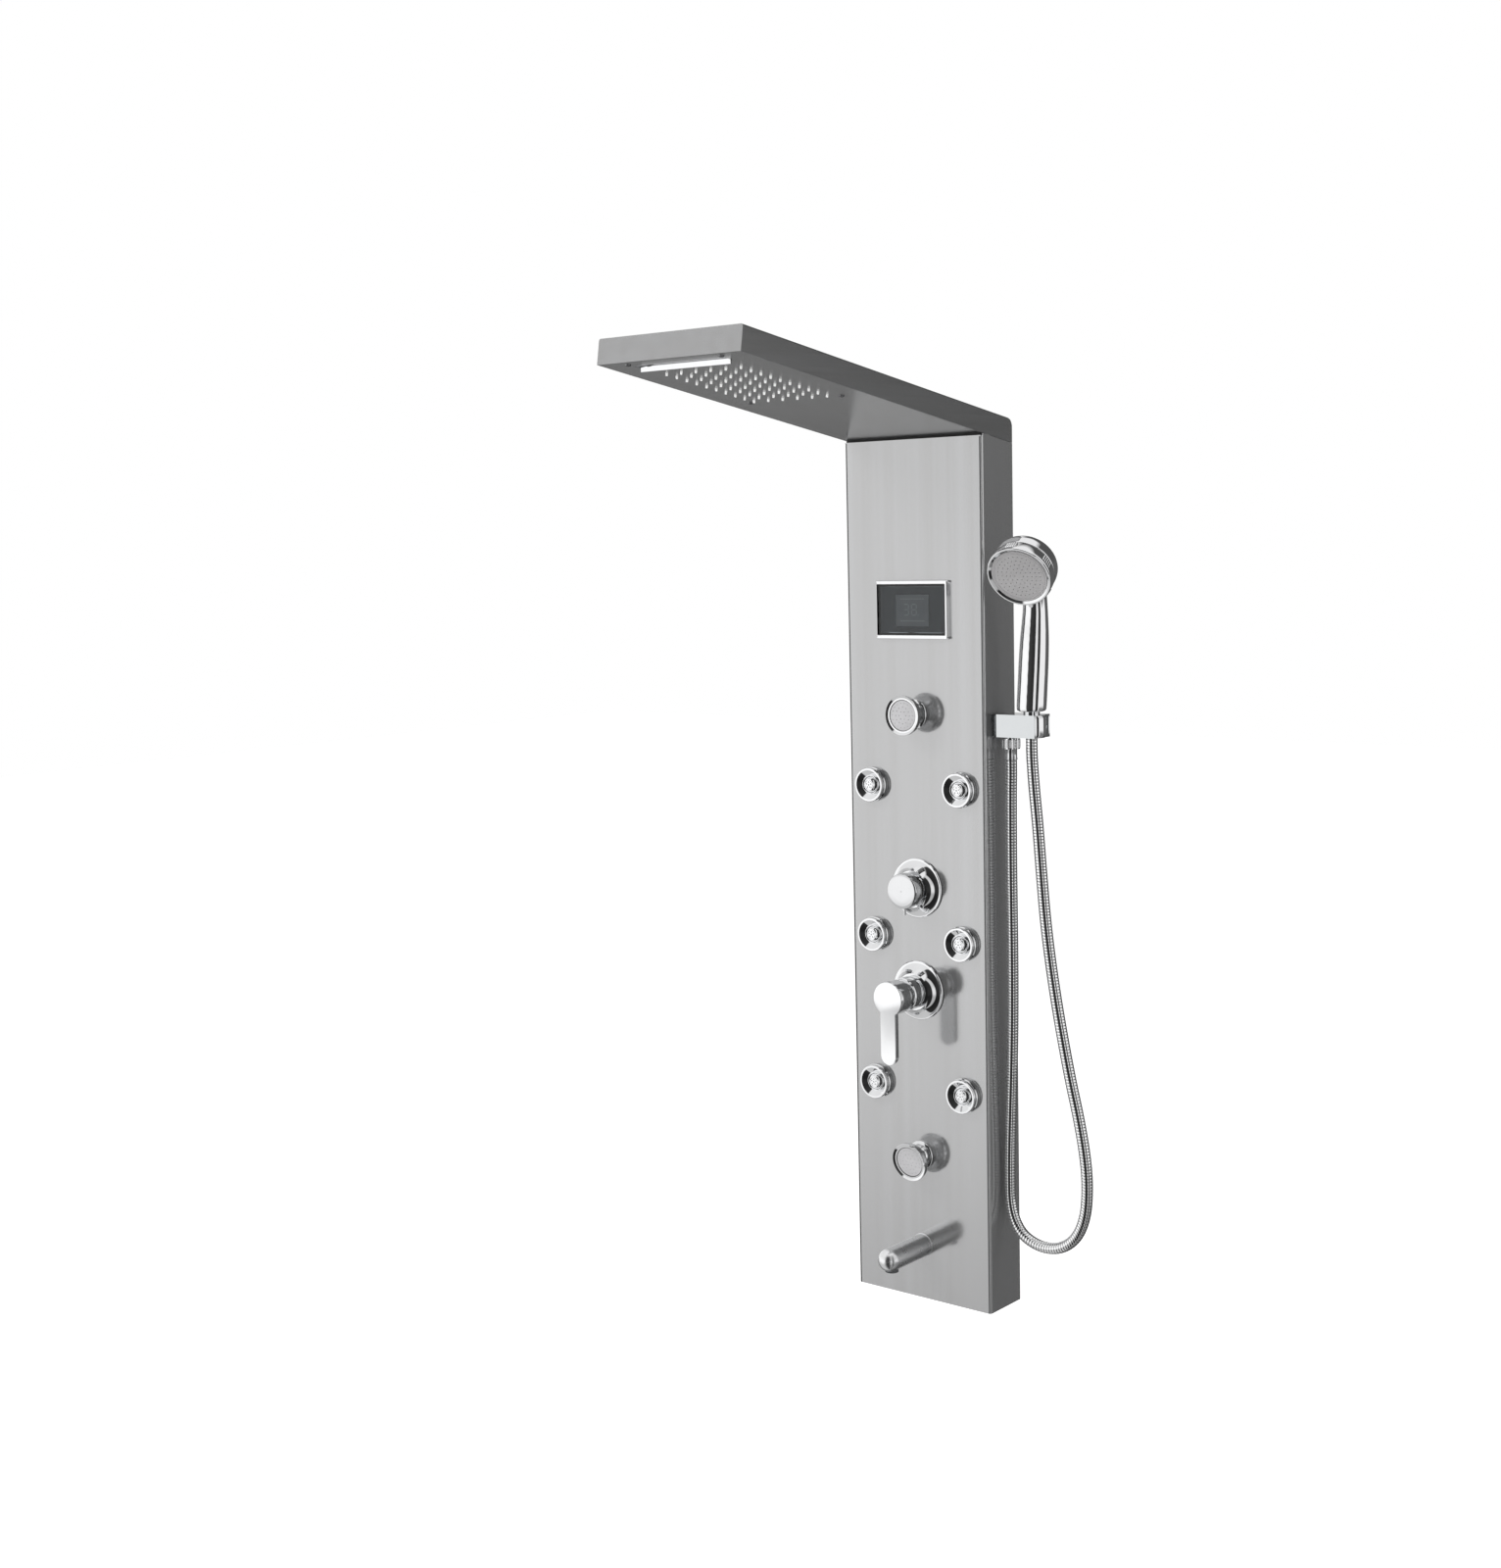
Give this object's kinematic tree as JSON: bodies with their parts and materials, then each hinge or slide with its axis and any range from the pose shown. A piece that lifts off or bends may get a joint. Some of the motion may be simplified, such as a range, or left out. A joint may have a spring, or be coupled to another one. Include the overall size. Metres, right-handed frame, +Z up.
{
  "type": "shower panel",
  "caption": "Wall-hung stainless shower panel with overhead rain and waterfall head, lever mixer, diverter, body jets, swivel sprays, tub spout and hand shower.",
  "frame": {"origin": "on the wall, at the middle of the hanging rail's four screw holes", "axes": "+Z up, +Y into the wall, so the panel faces -Y, and +X to the right of someone facing it"},
  "size_m": [0.3246, 0.4984, 1.1607],
  "materials": {
    "stainless": "mirror-like, upright brushing",
    "zinc_steel": "dull zinc plating",
    "chrome": "polished chrome plating",
    "jet_chrome": "polished chrome plating",
    "hose_steel": "spiral-wound polished steel",
    "plated_plastic": "polished chrome plating on plastic",
    "grey_plate": "satin grey",
    "brass": "cast and turned, unpolished",
    "rubber": "matte black",
    "silicone": "translucent pale silicone",
    "white_plastic": "moulded plastic",
    "grey_plastic": "moulded plastic",
    "smoked_glass": "smoked, polished"
  },
  "bodies": {
    "column": {"column_shell": "stainless", "wall_rail": "zinc_steel", "head_shell": "stainless", "head_plate": "stainless", "head_rails": "zinc_steel", "head_screws": "chrome", "head_seal": "rubber", "rain_box": "white_plastic", "rain_nozzles": "silicone", "waterfall_box": "chrome", "display_bezel": "chrome", "display_glass": "smoked_glass", "display_module": "grey_plastic", "generator_housing": "grey_plastic", "mixer_body": "brass", "mixer_cartridge": "white_plastic", "mixer_sleeve": "chrome", "valve_flanges": "chrome", "diverter_body": "brass", "diverter_cartridge": "white_plastic", "jet_housings": "chrome", "jet_tails": "white_plastic", "ring_nuts": "brass", "spray_bases": "chrome", "tub_spout": "chrome", "spout_aerator": "grey_plastic", "outlet_bracket": "chrome", "bracket_cap": "chrome", "hose": "hose_steel", "hose_nut": "chrome", "hose_ferrule": "chrome", "water_pipes": "white_plastic"},
    "rotor": {"generator_rotor": "white_plastic"},
    "mixer_turret": {"cartridge_turret": "white_plastic"},
    "mixer_lever": {"cartridge_stem": "zinc_steel", "mixer_lever": "chrome"},
    "diverter_knob": {"diverter_spindle": "brass", "diverter_knob": "chrome"},
    "jet_seat_1": {"jet_seat_1": "rubber"},
    "jet_ball_1": {"jet_ball_1": "jet_chrome"},
    "jet_seat_2": {"jet_seat_2": "rubber"},
    "jet_ball_2": {"jet_ball_2": "jet_chrome"},
    "jet_seat_3": {"jet_seat_3": "rubber"},
    "jet_ball_3": {"jet_ball_3": "jet_chrome"},
    "jet_seat_4": {"jet_seat_4": "rubber"},
    "jet_ball_4": {"jet_ball_4": "jet_chrome"},
    "jet_seat_5": {"jet_seat_5": "rubber"},
    "jet_ball_5": {"jet_ball_5": "jet_chrome"},
    "jet_seat_6": {"jet_seat_6": "rubber"},
    "jet_ball_6": {"jet_ball_6": "jet_chrome"},
    "spray_seat_upper": {"spray_seat_upper": "rubber"},
    "spray_head_upper": {"spray_head_upper": "chrome", "spray_plate_upper": "grey_plate"},
    "spray_seat_lower": {"spray_seat_lower": "rubber"},
    "spray_head_lower": {"spray_head_lower": "chrome", "spray_plate_lower": "grey_plate"},
    "cone_nut": {"cone_nut": "chrome"},
    "handset": {"handset": "plated_plastic", "handset_plate": "grey_plate"},
    "selector_ring": {"selector_ring": "plated_plastic"}
  },
  "joints": [
    {"name": "rotor_spin", "type": "hinge", "parent": "column", "child": "rotor", "pos_m": [-0.034, -0.036, -0.145], "axis": [0, -1, 0], "continuous": true},
    {"name": "mixer_turn", "type": "hinge", "parent": "column", "child": "mixer_turret", "pos_m": [0, -0.086, -0.549], "axis": [0, -1, 0], "range_deg": [-50, 50]},
    {"name": "mixer_lift", "type": "hinge", "parent": "mixer_turret", "child": "mixer_lever", "pos_m": [0, -0.106, -0.549], "axis": [-1, 0, 0], "range_deg": [0, 20]},
    {"name": "diverter_turn", "type": "hinge", "parent": "column", "child": "diverter_knob", "pos_m": [0, -0.086, -0.422], "axis": [0, -1, 0], "continuous": true},
    {"name": "jet_1_pan", "type": "hinge", "parent": "column", "child": "jet_seat_1", "pos_m": [-0.065, -0.0665, -0.298], "axis": [0, -1, 0], "range_deg": [-90, 90]},
    {"name": "jet_1_tilt", "type": "hinge", "parent": "jet_seat_1", "child": "jet_ball_1", "pos_m": [-0.065, -0.0665, -0.298], "axis": [1, 0, 0], "range_deg": [-15, 15]},
    {"name": "jet_2_pan", "type": "hinge", "parent": "column", "child": "jet_seat_2", "pos_m": [0.065, -0.0665, -0.298], "axis": [0, -1, 0], "range_deg": [-90, 90]},
    {"name": "jet_2_tilt", "type": "hinge", "parent": "jet_seat_2", "child": "jet_ball_2", "pos_m": [0.065, -0.0665, -0.298], "axis": [1, 0, 0], "range_deg": [-15, 15]},
    {"name": "jet_3_pan", "type": "hinge", "parent": "column", "child": "jet_seat_3", "pos_m": [-0.065, -0.0665, -0.485], "axis": [0, -1, 0], "range_deg": [-90, 90]},
    {"name": "jet_3_tilt", "type": "hinge", "parent": "jet_seat_3", "child": "jet_ball_3", "pos_m": [-0.065, -0.0665, -0.485], "axis": [1, 0, 0], "range_deg": [-15, 15]},
    {"name": "jet_4_pan", "type": "hinge", "parent": "column", "child": "jet_seat_4", "pos_m": [0.065, -0.0665, -0.485], "axis": [0, -1, 0], "range_deg": [-90, 90]},
    {"name": "jet_4_tilt", "type": "hinge", "parent": "jet_seat_4", "child": "jet_ball_4", "pos_m": [0.065, -0.0665, -0.485], "axis": [1, 0, 0], "range_deg": [-15, 15]},
    {"name": "jet_5_pan", "type": "hinge", "parent": "column", "child": "jet_seat_5", "pos_m": [-0.065, -0.0665, -0.672], "axis": [0, -1, 0], "range_deg": [-90, 90]},
    {"name": "jet_5_tilt", "type": "hinge", "parent": "jet_seat_5", "child": "jet_ball_5", "pos_m": [-0.065, -0.0665, -0.672], "axis": [1, 0, 0], "range_deg": [-15, 15]},
    {"name": "jet_6_pan", "type": "hinge", "parent": "column", "child": "jet_seat_6", "pos_m": [0.065, -0.0665, -0.672], "axis": [0, -1, 0], "range_deg": [-90, 90]},
    {"name": "jet_6_tilt", "type": "hinge", "parent": "jet_seat_6", "child": "jet_ball_6", "pos_m": [0.065, -0.0665, -0.672], "axis": [1, 0, 0], "range_deg": [-15, 15]},
    {"name": "spray_upper_pan", "type": "hinge", "parent": "column", "child": "spray_seat_upper", "pos_m": [0, -0.07, -0.209], "axis": [0, -1, 0], "range_deg": [-90, 90]},
    {"name": "spray_upper_tilt", "type": "hinge", "parent": "spray_seat_upper", "child": "spray_head_upper", "pos_m": [0, -0.07, -0.209], "axis": [1, 0, 0], "range_deg": [-20, 20]},
    {"name": "spray_lower_pan", "type": "hinge", "parent": "column", "child": "spray_seat_lower", "pos_m": [0, -0.07, -0.757], "axis": [0, -1, 0], "range_deg": [-90, 90]},
    {"name": "spray_lower_tilt", "type": "hinge", "parent": "spray_seat_lower", "child": "spray_head_lower", "pos_m": [0, -0.07, -0.757], "axis": [1, 0, 0], "range_deg": [-28, 12]},
    {"name": "handset_lift", "type": "slide", "parent": "column", "child": "cone_nut", "axis": [0, 0, 1], "range_m": [0, 0.06]},
    {"name": "handset_turn", "type": "hinge", "parent": "cone_nut", "child": "handset", "pos_m": [0.1446, -0.033, -0.2025], "axis": [0, 0, 1], "range_deg": [-10, 55]},
    {"name": "spray_select", "type": "hinge", "parent": "handset", "child": "selector_ring", "pos_m": [0.15903, -0.08015, -0.0446], "axis": [0.1389, -0.8414, -0.5222], "range_deg": [-60, 60]}
  ]
}
